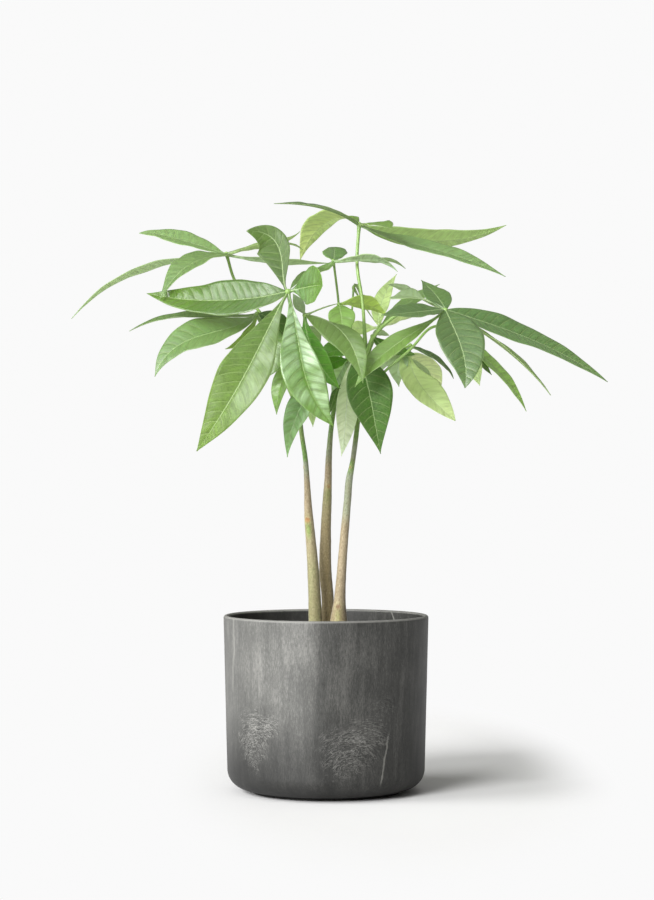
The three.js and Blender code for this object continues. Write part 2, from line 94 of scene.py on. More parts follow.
# Smooth random lumps from -1 to 1: seeded numbers on a lattice, eased between its corners
def lumps(points, size, seed):
    cells = 24
    table = np.random.default_rng(seed).uniform(-1, 1, (cells, cells, cells))
    q = np.asarray(points) / size
    cell = np.floor(q).astype(int)
    share = ease(0, 1, q - cell)
    total = 0
    for step in np.ndindex(2, 2, 2):
        corner = (cell + step) % cells
        weight = np.prod(np.where(step, share, 1 - share), axis=-1)
        total = total + table[corner[..., 0], corner[..., 1], corner[..., 2]] * weight
    return total


# A shell is a closed skin over a row of rings, with a point at the middle of each end ring.
# values holds what the materials read, one row for each point.
def shell(rings, **values):
    rows, around = rings.shape[:2]
    j = np.arange(around)
    k = (j + 1) % around
    ring = np.arange(rows - 1)[:, None] * around
    quads = np.stack([ring + j, ring + k, ring + around + k, ring + around + j], axis=-1).reshape(-1, 4)
    foot, last = rows * around, (rows - 1) * around
    fans = np.vstack([
        np.stack([np.full(around, foot), k, j], axis=1),
        np.stack([np.full(around, foot + 1), last + j, last + k], axis=1),
    ])

    def withEnds(grid):
        grid = np.broadcast_to(grid, rings.shape[:2] + np.shape(grid)[-1:])
        flat = grid.reshape(rows * around, -1)
        return np.vstack([flat, grid[0].mean(axis=0)[None], grid[-1].mean(axis=0)[None]])

    return {"points": withEnds(rings), "quads": quads, "fans": fans} | {
        name: withEnds(value) for name, value in values.items()
    }


# A mesh, lamp or camera as an object in the scene
def placed(name, data):
    holder = bpy.data.objects.new(name, data)
    bpy.context.scene.collection.objects.link(holder)
    return holder


# One piece from its shells, with their values as point attributes that its material reads
def makePiece(name, shells, material, nodes):
    starts = np.cumsum([0] + [len(s["points"]) for s in shells])
    points = np.vstack([s["points"] for s in shells])
    quads, fans = (
        np.vstack([s[part] + start for s, start in zip(shells, starts)]) for part in ("quads", "fans")
    )
    mesh = bpy.data.meshes.new(name)
    corners = np.concatenate([quads.ravel(), fans.ravel()])
    firsts = np.concatenate([np.arange(len(quads)) * 4, quads.size + np.arange(len(fans)) * 3])
    mesh.vertices.add(len(points))
    mesh.vertices.foreach_set("co", (points * metre).ravel())
    mesh.loops.add(len(corners))
    mesh.loops.foreach_set("vertex_index", corners.astype(np.int32))
    mesh.polygons.add(len(firsts))
    mesh.polygons.foreach_set("loop_start", firsts.astype(np.int32))
    mesh.polygons.foreach_set("use_smooth", np.ones(len(firsts), bool))
    for key in shells[0]:
        if key in ("points", "quads", "fans"):
            continue
        rows = np.vstack([s[key] for s in shells])
        kind, field = ("FLOAT_COLOR", "color") if rows.shape[1] == 4 else ("FLOAT_VECTOR", "vector")
        layer = mesh.attributes.new(key, kind, "POINT")
        layer.data.foreach_set(field, rows.ravel().astype(np.float32))
    mesh.update(calc_edges=True)
    mesh.materials.append(material)
    piece = placed(name, mesh)
    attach(piece, "root")
    if nodes:
        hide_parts(*nodes)
    return piece


# Tube along a line of points: rings square to it, each with its own radius
def tubeRings(line, radius, sides):
    along = unit(np.gradient(line, axis=0))
    aside = np.eye(3)[np.argmin(np.abs(along.mean(axis=0)))]
    side = unit(np.cross(along, aside))
    up = np.cross(side, along)
    angle = np.linspace(0, 2 * np.pi, sides, endpoint=False)
    reach = np.cos(angle)[None, :, None] * up[:, None] + np.sin(angle)[None, :, None] * side[:, None]
    return line[:, None] + reach * np.asarray(radius)[:, None, None]


# A wire is a node's socket: sums and products of wires and numbers add Math nodes
class Wire:
    def __init__(self, finish, socket):
        self.finish = finish
        self.socket = socket

    def maths(self, operation, *others):
        inputs = dict(enumerate((self, *others)))
        return self.finish.node("ShaderNodeMath", {"operation": operation}, inputs)

    def __add__(self, other):
        return self.maths("ADD", other)

    __radd__ = __add__

    def __mul__(self, other):
        return self.maths("MULTIPLY", other)

    __rmul__ = __mul__

    def __sub__(self, other):
        return self.maths("SUBTRACT", other)

    def __rsub__(self, other):
        return self.finish.node("ShaderNodeMath", {"operation": "SUBTRACT"}, {0: other, 1: self})

    def __truediv__(self, other):
        return self.maths("DIVIDE", other)

    def __pow__(self, other):
        return self.maths("POWER", other)

    def __abs__(self):
        return self.maths("ABSOLUTE")


# A material or world under construction: node() adds any node, sets it up, feeds it and returns an output
class Finish:
    def __init__(self, name, kind=bpy.data.materials):
        self.owner = kind.new(name)
        self.owner.use_nodes = True
        self.tree = self.owner.node_tree
        self.surface = self.tree.nodes.get("Principled BSDF")

    def node(self, kind, settings=None, inputs=None, output=0):
        made = self.tree.nodes.new(kind)
        for key, value in (settings or {}).items():
            if key == "stops":
                ramp = made.color_ramp
                ramp.elements[0].position, ramp.elements[0].color = value[0][0], (*value[0][1], 1)
                ramp.elements[1].position, ramp.elements[1].color = value[-1][0], (*value[-1][1], 1)
                for place, colour in value[1:-1]:
                    ramp.elements.new(place).color = (*colour, 1)
            else:
                setattr(made, key, value)
        self.feed(made, inputs or {})
        return Wire(self, made.outputs[output])

    def feed(self, made, inputs):
        for key, value in inputs.items():
            if isinstance(value, Wire):
                self.tree.links.new(value.socket, made.inputs[key])
            else:
                made.inputs[key].default_value = value

    def read(self, name, output="Color"):
        return self.node("ShaderNodeAttribute", {"attribute_name": name}, output=output)

    # A vector's x, y and z as three wires
    def split(self, vector):
        apart = self.node("ShaderNodeSeparateXYZ", None, {0: vector}).socket.node
        return [Wire(self, socket) for socket in apart.outputs]

    # Object coordinates in millimetres, stretched along each axis
    def place(self, stretch=(1, 1, 1)):
        raw = self.node("ShaderNodeTexCoord", output="Object")
        scale = [s / metre for s in stretch]
        return self.node("ShaderNodeVectorMath", {"operation": "MULTIPLY"}, {0: raw, 1: scale})

    # Noise with lumps about size millimetres across
    def noise(self, vector, size, detail=3, rough=0.5, warp=0):
        return self.node("ShaderNodeTexNoise", None, {
            "Vector": vector, "Scale": 1 / size, "Detail": detail, "Roughness": rough, "Distortion": warp,
        })

    # An even S from toLow to toHigh while the value goes from low to high
    def range(self, value, low, high, toLow=0, toHigh=1):
        return self.node("ShaderNodeMapRange", {"interpolation_type": "SMOOTHSTEP"}, {
            "Value": value, "From Min": low, "From Max": high, "To Min": toLow, "To Max": toHigh,
        })

    def mix(self, share, first, second, blend="MIX"):
        return self.node("ShaderNodeMix", {"data_type": "RGBA", "blend_type": blend}, {
            0: share, 6: first, 7: second,
        }, output=2)

    def bump(self, height, depth, strength):
        return self.node("ShaderNodeBump", None, {
            "Height": height, "Distance": depth * metre, "Strength": strength,
        })

    # Lets another shader show in place of the surface by a share
    def blend(self, share, shader):
        mixed = self.node("ShaderNodeMixShader", None, {0: share, 2: shader})
        self.tree.links.new(self.surface.outputs[0], mixed.socket.node.inputs[1])
        self.tree.links.new(mixed.socket, self.tree.nodes["Material Output"].inputs[0])

    def done(self, **sockets):
        self.feed(self.surface, {name.replace("_", " "): value for name, value in sockets.items()})
        return self.owner


def rgba(colour):
    return (*linear(colour), 1)


# Camera: level with the foliage's foot, far off, as in the studio. Its focal length is in pixels.
camera = {
    "distance": 2183, "height": 299, "aimHeight": 316, "aimAside": 0.9,
    "focal": 2350, "framePixels": 900, "sensor": 36, "clipEnd": 60,
}
lens = bpy.data.cameras.new("camera")
lens.sensor_width = camera["sensor"]
lens.lens = camera["sensor"] * camera["focal"] / camera["framePixels"]
lens.clip_end = camera["clipEnd"]
viewer = placed("camera", lens)
viewer.location = Vector((camera["aimAside"], -camera["distance"], camera["height"])) * metre
aim = Vector((camera["aimAside"], 0, camera["aimHeight"])) * metre
viewer.rotation_euler = (aim - viewer.location).to_track_quat("-Z", "Y").to_euler()
bpy.context.scene.camera = viewer

# Stems: [x, y, z, radius] from the buried end to the growing tip
stems = {
    "trunk_left": [
        [-8, -5, 82, 6.4], [-9, -4, 118, 6.6], [-9.4, -4, 142, 6.8], [-9.9, -4, 160, 6.3],
        [-11.8, -4, 203, 5.4], [-15.3, -4, 246, 4.3], [-16.5, -4, 262, 3.7], [-17.7, -4, 288, 2.7],
        [-19.2, -4, 308, 2.3], [-23.2, -4, 336, 2.1], [-26, -3, 372, 1.9], [-27.6, -2, 404, 1.6],
    ],
    "trunk_middle": [
        [4, 12, 82, 6], [3, 12, 118, 6.2], [2, 12, 142, 6.2], [1.4, 12, 179, 5.7],
        [-0.6, 12, 203, 5.8], [-0.2, 12, 241, 4.8], [1.1, 12, 270, 4.2], [2, 12, 290, 3.4],
        [2.6, 12, 308, 3], [4.8, 12, 336, 2.3], [10.4, 12, 372, 2.2], [15.8, 12, 398, 1.7],
    ],
    "trunk_right": [
        [11, -5, 82, 8], [11.6, -4, 118, 8.4], [11.4, -4, 142, 8.6], [11.6, -4, 157, 8],
        [12.8, -4, 179, 5.3], [14.4, -4, 203, 4.4], [17.3, -4, 241, 3.9], [20, -4, 270, 3.4],
        [21.4, -4, 288, 3.3], [24.8, -4, 306, 2.4], [29.6, -4, 344, 2.3], [34, -4, 386, 2],
        [37, -4, 420, 1.6],
    ],
}

# Leaf tones: the upper side near the hub and at the tip, the underside, roughness, height of the quilting
# and share of the light that shines through
toneParts = ("root", "tip", "under", "rough", "quilt", "sheer")
tones = {
    "glossy": ((50, 84, 31), (78, 113, 40), (130, 164, 96), 0.28, 0.6, 0.35),
    "fresh": ((48, 82, 6), (82, 116, 14), (164, 198, 118), 0.4, 0.35, 0.35),
    "mid": ((84, 114, 58), (98, 129, 66), (152, 177, 120), 0.38, 0.35, 0.4),
    "soft": ((84, 112, 74), (99, 126, 87), (174, 200, 162), 0.42, 0.3, 0.4),
    "deep": ((42, 86, 5), (52, 96, 6), (110, 146, 76), 0.5, 0.15, 0.2),
    "blue": ((63, 90, 57), (77, 104, 66), (124, 152, 100), 0.4, 0.4, 0.3),
    "grey": ((120, 134, 116), (136, 150, 132), (150, 168, 140), 0.5, 0.2, 0.45),
    "olive": ((112, 142, 46), (122, 150, 52), (188, 214, 104), 0.5, 0.12, 0.45),
    # pale is partly a young leaflet's own pale green and partly painted light: near-white greens for light
    # shining through
    "pale": ((204, 220, 176), (208, 224, 182), (226, 236, 196), 0.5, 0.12, 0.6),
}

# Leaves: the stem that the stalk leaves and how high up, points that the stalk passes, its hub, its radius
# and the leaflets. A leaflet has points of its midrib from the hub to the tip, its width, where its upper
# side looks, its tone, and what else sets it apart, as told above the blade.
leaves = {
    "leaf_front": ("trunk_left", 392, [[-30, -40, 432]], [-34, -80, 457], 1.7, [
        ([[-5, 12, 21], [-11, 25, 46], [-38, 24, 57]], 31, (-2, -9, 3), "glossy",
         {"peak": 0.65, "power": 0.8, "skew": -0.3, "light": 0.58, "rough": 0.6, "rightWax": 0.06}),
        ([[20, -22, 3], [31, -58, 1]], 35, (-9, -4, 1), "glossy",
         {"peak": 0.6, "power": 0.62, "light": 1.25, "leftWax": 0.1, "rightWax": 0.15}),
        ([[-41, 12, -6], [-87, 35, -5], [-131, 60, 3]], 40, (0, -8, 5), "glossy",
         {"peak": 0.42, "power": 1, "light": 0.88, "quilt": 0.5, "leftWax": 0.14, "rightWax": 0.26,
          "waxEnd": 0.62}),
        ([[-21, -18, -42], [-44, -30, -87], [-80, -32, -143]], 47, (-2, -9, 4), "fresh",
         {"peak": 0.6, "power": 1, "light": 0.86, "rough": 0.64, "leftWax": 0.34, "waxEnd": 0.9}),
        ([[9, -16, -44], [18, -26, -84], [41, -24, -121]], 38, (2, -9, 4), "glossy",
         {"peak": 0.56, "leftPeak": 0.64, "skew": 0.12, "light": 1.45, "quilt": 0.36, "leftWax": 0.56,
          "rightWax": 0.3}),
    ]),
    "leaf_upper_left": ("trunk_left", 400, [[-58, 4, 440], [-84, 8, 472]], [-93, 10, 499], 1.4, [
        ([[-25, 18, 9], [-56, 40, 20], [-86, 55, 25]], 27, (0, -5, 9), "soft",
         {"power": 0.8, "light": 1.15}),
        ([[-20, -18, -6], [-40, -35, -19], [-59, -48, -46]], 40, (-4, -6, 8), "soft",
         {"peak": 0.42, "leftPeak": 0.32, "leftFoot": 0.9, "light": 0.92}),
        ([[-50, 8, -7], [-99, 4, -24], [-144, -8, -61]], 21, (-3, 2, 9), "soft"),
        ([[22, 22, 7], [46, 46, 13], [68, 65, 28]], 24, (-1, 3, 9), "mid"),
        ([[30, 2, -6], [62, 8, -8], [97, 16, -7]], 16, (0, 2.5, 9), "soft"),
        ([[26, -16, 5], [52, -32, 7], [72, -40, 0]], 14, (0, -1, 9), "mid"),
    ]),
    "leaf_crown": ("trunk_right", 413, [[34, -1, 452], [29, 8, 489]], [31, 14, 527], 1.5, [
        ([[-26, -16, 11], [-52, -32, 15], [-79, -42, 15]], 22, (1, -2, 9), "blue", {"peak": 0.38}),
        ([[-20, 20, 9], [-41, 44, -2], [-56, 62, -28]], 40, (-4, 5, 8), "fresh",
         {"peak": 0.43, "light": 2}),
        ([[12, -24, -2], [21, -48, -6], [28, -72, -11]], 22, (0, -4, 9), "mid"),
        ([[42, 28, -9], [90, 54, -9], [143, 72, 7]], 27, (0, 6, 7), "fresh", {"peak": 0.48, "power": 1}),
        ([[44, -17, -18], [87, -34, -32], [133, -52, -53]], 25, (0, -4.5, 8), "soft", {"quilt": 0.5}),
    ]),
    "leaf_right": (
        "trunk_right", 396, [[44, -14, 420], [66, -24, 440], [90, -34, 444]], [109, -40, 443], 1.5, [
        ([[-4, 18, 10], [-10, 46, 21], [-19, 78, 34]], 24, (0, -6, 9), "blue",
         {"peak": 0.44, "light": 1.08}),
        ([[-20, -15, -2], [-40, -31, -5], [-60, -42, -7]], 28, (0, -5.5, 8), "blue",
         {"peak": 0.47, "light": 1.05}),
        ([[7, -28, -20], [14, -50, -45], [14, -62, -73]], 42, (0, -8, 6), "blue",
         {"peak": 0.46, "power": 0.95, "skew": -0.06, "light": 0.92}),
        ([[47, 9, -14], [99, 22, -34], [152, 34, -64]], 29, (1, -7, 7), "blue",
         {"peak": 0.37, "power": 0.9, "light": 1.3}),
        ([[31, -18, -20], [64, -32, -47], [92, -44, -79]], 21, (5, -1.5, 7), "mid"),
        ([[-17, 30, 11], [-34, 52, 22], [-50, 68, 29]], 14, (0, -3, 9), "grey",
         {"peak": 0.78, "foot": 2, "power": 0.6}),
        ([[-15, 14, 10], [-31, 28, 15], [-46, 42, 16]], 26, (0, -5, 8), "grey",
         {"peak": 0.78, "foot": 2, "power": 0.4}),
        ([[-28, -10, -20], [-58, -22, -42], [-83, -28, -71]], 24, (-3, -7, 6), "mid",
         {"peak": 0.58, "foot": 1.5, "light": 1.1}),
    ]),
    "leaf_upper_middle": ("trunk_middle", 392, [[12, 14, 450]], [7, 15, 493], 1.1, [
        ([[1, 30, 8], [1, 62, 19]], 24, (0, -7, 7), "blue", {"power": 0.7, "light": 1.8}),
        ([[22, -20, -1], [42, -29, -3], [59, -35, -13]], 20, (0, 3, 9), "soft", {"light": 1.1}),
        ([[24, 16, 2], [48, 34, 4], [69, 48, -3]], 13, (0, 1, 9), "soft"),
        ([[-12, -20, -11], [-27, -40, -19], [-40, -55, -31]], 24, (-3, -4, 8), "soft", {"peak": 0.42}),
    ]),
    "leaf_middle": ("trunk_middle", 366, [[6, 0, 400]], [12, -4, 451], 1.2, [
        ([[15, 14, 3], [30, 22, 0], [46, 24, -9]], 24, (1, 5, 8), "olive", {"peak": 0.46, "light": 1.15}),
        ([[2, -14, -12], [4, -26, -34]], 25, (0, -8, 6), "mid", {"light": 1.7}),
    ]),
    "leaf_inner": ("trunk_left", 378, [[-22, -30, 412]], [-19, -50, 438], 1.4, [
        ([[25, -14, -9], [42, -24, -29], [52, -30, -63]], 29, (-1, -8, 6), "mid",
         {"peak": 0.42, "leftPeak": 0.66, "leftFoot": 2.4, "skew": 0.2, "light": 0.84, "rough": 0.5}),
        ([[4, -2, -24], [15, -4, -47], [32, -6, -67]], 22, (-4, -8, 3), "deep", {"light": 2.2}),
        ([[15, -4, 6], [29, -6, 10]], 5, (0, -1, 9), "mid"),
        ([[-5, -6, 9], [-11, -10, 19]], 10, (-3, -8, 3), "grey"),
    ]),
    "leaf_left": ("trunk_left", 348, [[-36, -16, 376], [-50, -28, 408]], [-63, -35, 440], 1.5, [
        ([[-30, -10, -15], [-66, -16, -27], [-92, -20, -58]], 40, (-2, -7, 7), "soft",
         {"peak": 0.52, "light": 0.84}),
        ([[-40, 16, -1], [-80, 34, -1], [-121, 46, -13]], 24, (-1, -3, 9), "blue", {"light": 1.1}),
        ([[15, -3, -8], [31, -5, -30]], 24, (2, -8, 5), "deep"),
        ([[11, -10, -20], [14, -14, -41], [5, -14, -61]], 26, (0, -8, 5), "mid"),
        ([[-11, 10, -21], [-30, 18, -31]], 14, (0, -6, 7), "olive"),
    ]),
    "leaf_lower": ("trunk_left", 366, [[-22, -18, 392]], [-17, -30, 406], 1.4, [
        ([[-16, -8, -12], [-25, -12, -34], [-28, -12, -58]], 18, (-4, -7, 5), "mid", {"light": 1.55}),
        ([[3, -14, -30], [-9, -22, -59], [-18, -24, -97]], 28, (-5, -8, 3), "blue", {"light": 2.5}),
        ([[3, 2, -38], [5, 6, -69]], 14, (0, -8, 1), "pale"),
    ]),
    "leaf_centre": ("trunk_right", 372, [[34, -20, 394]], [29, -35, 405], 1.4, [
        ([[8, -12, -27], [14, -18, -57], [20.5, -18, -93]], 42, (1, -9, 3), "deep",
         {"peak": 0.44, "light": 0.96, "rough": 0.66}),
        ([[-8, 8, -29], [-11, 12, -62], [-15, 12, -95]], 21, (2, 8, 2), "pale", {"light": 1.9}),
    ]),
    "leaf_stem_top": ("trunk_middle", 384, [], [20, -15, 399], 1.3, [
        ([[-9, -10, 8], [-29, -18, -1]], 23, (0, -6, 7), "deep", {"light": 2.2}),
        ([[-13, -8, -3], [-27, -14, -13]], 20, (-1, -7, 6), "deep", {"light": 3.2}),
        ([[-7, 0, -13], [-15, 0, -30]], 13, (-2, -8, 3), "grey", {"light": 2.8}),
        ([[-10, 0, -28], [-18, 0, -52]], 8, (-2, -8, 1), "deep"),
    ]),
    "leaf_back": ("trunk_right", 390, [[42, 12, 412]], [50, 35, 432], 1.2, [
        ([[1, 12, 17], [7, 30, 35], [18, 45, 54]], 17, (-2, -8, 3), "pale", {"peak": 0.46, "light": 1.15}),
        ([[16, 4, 6], [32, 14, 12], [50, 24, 19]], 20, (0, 4, 8), "pale"),
        ([[-16, -2, -1], [-32, -4, 0]], 14, (0, -8, 3), "pale", {"peak": 0.6, "light": 1.2}),
        ([[18, 12, 16], [37, 26, 30], [59, 40, 44]], 18, (-2, -6, 7), "soft"),
    ]),
    "leaf_lower_right": ("trunk_right", 380, [[58, 10, 404]], [79, 20, 414], 1.3, [
        ([[1, -10, -22], [14, -20, -45], [41, -25, -71]], 32, (2, -8, 5), "pale",
         {"peak": 0.5, "leftPeak": 0.68, "power": 0.85, "rough": 0.6}),
        ([[13, 7, -6], [30, 18, -16], [42, 26, -30]], 16, (1, -5, 8), "deep"),
        ([[-11, -8, -14], [-11, -14, -39]], 20, (0, -8, 3), "grey", {"light": 1.8}),
    ]),
    "leaf_behind_right": (
        "trunk_right", 366, [[56, -14, 390], [78, -12, 409], [97, -6, 429]], [120, 12, 432], 1.3, [
        ([[24, 8, -25], [49, 22, -49], [70, 34, -79]], 20, (3, -6, 7), "mid", {"light": 2.1}),
        ([[18, 8, -24], [36, 18, -45]], 18, (3, -6, 6), "deep"),
        ([[12, -6, -28], [23, -10, -56]], 22, (1, -8, 4), "pale"),
    ]),
    "leaf_young": ("trunk_right", 405, [], [43, 4, 422], 1.1, [
        ([[12, 1, -10], [27, 2, -15], [40, 3, -17]], 17, (0, -6, 7), "deep", {"peak": 0.42, "power": 0.8}),
        ([[6, 3, 3], [16, 6, 1]], 9, (0, -6, 6), "grey", {"power": 0.8}),
    ]),
    "leaf_folded": ("trunk_middle", 386, [[22, 22, 408], [24, 28, 440]], [26, 34, 470], 0.9, [
        ([[11, 8, -18], [23, 11, -35]], 4, (8, 0, 5), "mid"),
        ([[4, 6, 2], [7, 14, -10]], 7, (4, 4, 8), "mid"),
    ]),
    "leaf_rear_left": ("trunk_left", 384, [[-26, 26, 410]], [-24, 60, 430], 1.4, [
        ([[-20, 30, 6], [-42, 58, -6], [-56, 80, -34]], 30, (-2, 5, 8), "mid"),
        ([[2, 34, 4], [4, 66, -10], [4, 90, -42]], 32, (0, 5, 8), "glossy"),
        ([[22, 26, 4], [44, 48, -8], [56, 66, -36]], 28, (2, 5, 8), "blue"),
        ([[-24, 4, 2], [-46, 8, -14], [-58, 10, -40]], 26, (-4, 2, 8), "mid"),
        ([[0, 10, -24], [2, 14, -50]], 18, (0, 8, 3), "deep"),
    ]),
    "leaf_rear_right": ("trunk_right", 374, [[42, 24, 392]], [58, 58, 402], 1.3, [
        ([[22, 24, 4], [42, 46, -8], [52, 60, -34]], 27, (3, 5, 8), "mid", {"light": 2.6}),
        ([[-2, 32, 6], [-8, 60, 0], [-14, 84, -22]], 28, (0, 5, 8), "soft"),
        ([[-20, 20, 4], [-34, 38, -4], [-40, 46, -22]], 22, (-3, 5, 8), "blue"),
        ([[20, 4, 0], [36, 8, -12], [46, 10, -34]], 22, (4, 1, 8), "mid"),
    ]),
}

# Blade of a leaflet, in millimetres, with shares of its half width or of its length. The last row is what a
# leaflet can have of its own, besides the roughness and quilting of its tone: where it is widest, how slim
# its tip and its foot are, its brightness, the painted sheen on either half and how far up that goes. The
# brightness is partly the leaflet's own and partly painted light and painted shade: raised where a leaflet
# sits in shade, lowered where the lamps light it. The painted sheen is a whitish painted reflection in soft
# patches. leftPeak and leftFoot hold for the left half, seen from above with the tip away, and skew widens
# the right one.
blade = {
    "rowStep": 1.3, "rows": (34, 110), "columns": 21, "crowding": 1.35, "rootHalf": 1.2, "tipHalf": 0.35,
    "thick": 0.55, "edgeThick": 0.4, "rootThick": 2.2, "rootShare": 0.2,
    "ribWidth": 1.5, "ribTaper": 1.1, "ribUnder": 0.9, "ribOver": 0.25,
    "fold": 0.2, "arch": 0.1, "wave": 0.05, "waves": (2.4, 5.3), "lopsided": 0.04,
    "veinGap": 8.8, "veinLean": 0.4, "veinCurve": 0.28, "fullQuilt": 12,
    # The whitish colour and the patch size below are those of the painted sheen: a painted reflection laid
    # on as colour
    "wax": (206, 222, 198), "paintedSheenPatch": 11, "underRough": 0.6, "tintDrift": 0.04, "brightest": 0.9,
    "peak": 0.54, "power": 1.15, "foot": 1.15, "light": 1, "leftWax": 0, "rightWax": 0, "waxEnd": 1,
}
stalkLook = {
    "sides": 14, "step": 2.2, "swell": 0.5, "swellShare": 1 / 6, "hubSwell": 0.3,
    "hub": 2.8, "hubShare": 1.7, "hubRings": 11, "hubSides": 18,
    "tint": (128, 160, 84), "rough": 0.42, "sheer": 0.05,
}


# Midrib: the curve that starts at the hub and passes through two or three points at even shares of its way
def midrib(points, t):
    p = np.asarray(points, float)
    t = t[:, None]
    if len(p) == 2:
        pull = 2 * p[0] - 0.5 * p[1]
        return 2 * (1 - t) * t * pull + t**2 * p[1]
    pullA = 3 * p[0] - 1.5 * p[1] + p[2] / 3
    pullB = -1.5 * p[0] + 3 * p[1] - 5 / 6 * p[2]
    return 3 * (1 - t) ** 2 * t * pullA + 3 * (1 - t) * t**2 * pullB + t**3 * p[2]


# Leaflet: t runs from hub to tip and v from edge to edge. Half the width goes with the sine of half a turn
# times a power of t that puts its peak where wanted, itself raised to a power that slims the ends. The
# blade folds up from the midrib, arches, waves at its edges and swells between the side veins, which leave
# the midrib aslant and bend towards the tip. phase counts the veins along each half. The upper side's tint
# goes from the root's to the tip's, with a painted sheen, a whitish painted reflection, in soft patches
# over the halves that have it. The tint is scaled by the leaflet's brightness, partly painted light and
# shade.
def leafletShell(hub, leaflet, rng):
    rib, width, face, tone, *extra = leaflet
    own = blade | dict(zip(toneParts, tones[tone])) | dict(*extra)
    length = pathLength(midrib(rib, np.linspace(0, 1, 60)))
    t = np.linspace(0, 1, int(np.clip(length / own["rowStep"], *own["rows"])))
    line = midrib(rib, t) + hub
    along = unit(np.gradient(line, axis=0))
    face = np.asarray(face, float)
    up = unit(face - (along @ face)[:, None] * along)
    side = np.cross(along, up)
    s = np.linspace(-1, 1, own["columns"])
    v = (np.sign(s) * np.abs(s) ** own["crowding"])[None]
    far, left = np.abs(v), v < 0
    tt = t[:, None]

    peak = np.where(left, own.get("leftPeak", own["peak"]), own["peak"])
    foot = np.where(left, own.get("leftFoot", own["foot"]), own["foot"])
    power = partWay(foot, own["power"], ease(0.4, 0.8, tt))
    shape = np.sin(np.pi * tt ** (np.log(0.5) / np.log(peak))) ** power
    least = partWay(own["rootHalf"], own["tipHalf"], ease(0, 1, tt))
    half = np.maximum(width / 2 * shape, least)
    skew = own.get("skew", own["lopsided"] * rng.uniform(-1, 1))
    x = v * half * (1 + skew * np.sign(v))
    calm = ease(0.02, 0.2, tt) * ease(1, 0.9, tt)       # nothing waves at the hub or the tip

    count = max(4, round(length / own["veinGap"]))
    drift = rng.uniform(0, 6.28, 4)
    uneven = 0.012 * np.sin(9 * tt + drift[0]) + 0.006 * np.sin(23 * tt + drift[1])
    slant = (own["veinLean"] * far + own["veinCurve"] * far**2) * half / length
    phase = count * (tt + uneven - slant) + np.where(v > 0, 0.5, 0) + rng.uniform(0, 1)
    between = 0.5 - 0.5 * np.cos(2 * np.pi * phase)
    quilt = own["quilt"] * np.minimum(1, half / own["fullQuilt"])
    swell = quilt * (np.abs(between) ** 0.7 - 0.5) * far**0.6 * (1 - far**5)
    slow, quick = own["waves"]
    wave = np.sin(2 * np.pi * slow * tt + drift[2] + np.sign(v) * 0.9)
    wave = wave + 0.4 * np.sin(2 * np.pi * quick * tt + drift[3])
    wave = own["wave"] * half * far**3 * calm * wave
    arch = own["arch"] * half * far * (1 - far)
    height = own["fold"] * (half - least) * far + arch + swell * calm + wave

    rootward = np.clip(1 - tt / own["rootShare"], 0, 1)
    thick = partWay(own["thick"], own["edgeThick"], far)
    thick = partWay(thick, own["rootThick"], rootward * (1 - 0.5 * far))
    ribHump = np.exp(-((x / (own["ribWidth"] - own["ribTaper"] * tt)) ** 2))
    over = thick / 2 + own["ribOver"] * ribHump * (1 - tt)
    under = thick / 2 + own["ribUnder"] * ribHump * (1 - 0.8 * tt)
    ends = np.where(tt >= 1, 0.5, 1)

    def sheet(offset):
        lift = (height + offset * ends)[..., None]
        return line[:, None] + side[:, None] * x[..., None] + up[:, None] * lift

    def twice(value):
        value = np.broadcast_to(value, x.shape)
        return np.concatenate([value, value[:, ::-1]], axis=1)

    flat = np.stack([x, length * tt + 0 * x, 0 * x], axis=-1)
    # Painted sheen: a whitish painted reflection, in soft patches over the halves that have it
    patches = lumps(flat, own["paintedSheenPatch"], int(100 * drift[0]))
    wax = np.where(left, own["leftWax"], own["rightWax"]) * ease(0.02, 0.15, tt)
    wax = wax * ease(own["waxEnd"] + 0.05, own["waxEnd"] - 0.35, tt) * ease(0.02, 0.2, far)
    wax = wax * (0.8 + 0.2 * ease(0.05, 0.5, between)) * (0.8 + 0.6 * patches) * ease(1.02, 0.85, far)
    top = partWay(linear(own["root"]), linear(own["tip"]), ease(0.2, 1, tt)[..., None])
    top = partWay(top, linear(own["wax"]), np.clip(wax, 0, 1)[..., None])
    tint = np.concatenate([top, np.broadcast_to(linear(own["under"]), top.shape)], axis=1)
    # Brightness: partly the leaflet's own, partly painted light and painted shade, raised on leaflets in
    # shade and lowered on lamp-lit ones
    tint = tint * (own["light"] * (1 + own["tintDrift"] * rng.uniform(-1, 1, 3)))
    rough = np.concatenate([np.full_like(x, own["rough"]), np.full_like(x, own["underRough"])], axis=1)
    return shell(
        np.concatenate([sheet(over), sheet(-under)[:, ::-1]], axis=1),
        tint=opaque(np.minimum(tint, own["brightest"])),
        blade=np.stack([twice(x), twice(tt), twice(phase)], axis=-1),
        skin=np.stack([twice(far), rough, np.full_like(rough, own["sheer"])], axis=-1),
    )


# Stalk and hub: a tube that swells where it leaves the stem and at the hub, and a small round knob. Both
# have the leaf's finish, far from any midrib, vein or edge.
def stalkShells(stem, height, via, hub, radius):
    look = stalkLook
    axis = splineAt(np.asarray(stems[stem], float)[:, :3], np.linspace(0, 1, 800))
    base = [np.interp(height, axis[:, 2], axis[:, i]) for i in range(3)]
    path = [base, *via, hub]
    t = np.linspace(0, 1, max(8, int(pathLength(path) / look["step"])))
    swell = 1 + look["swell"] * np.clip(1 - t / look["swellShare"], 0, 1)
    swell = swell + look["hubSwell"] * ease(0.9, 1, t)
    tube = tubeRings(splineAt(path, t), radius * swell, look["sides"])
    tilt = np.linspace(-math.pi / 2, math.pi / 2, look["hubRings"])
    size = min(look["hub"], look["hubShare"] * radius)
    spine = np.asarray(hub) + np.outer(np.sin(tilt) * size, [0, 0, 1])
    knob = tubeRings(spine, np.cos(tilt) * size + 0.02, look["hubSides"])
    skin = (0.5, look["rough"], look["sheer"])
    values = {"tint": rgba(look["tint"]), "blade": (99, 0.5, 0.5), "skin": skin}
    return [shell(rings, **values) for rings in (tube, knob)]
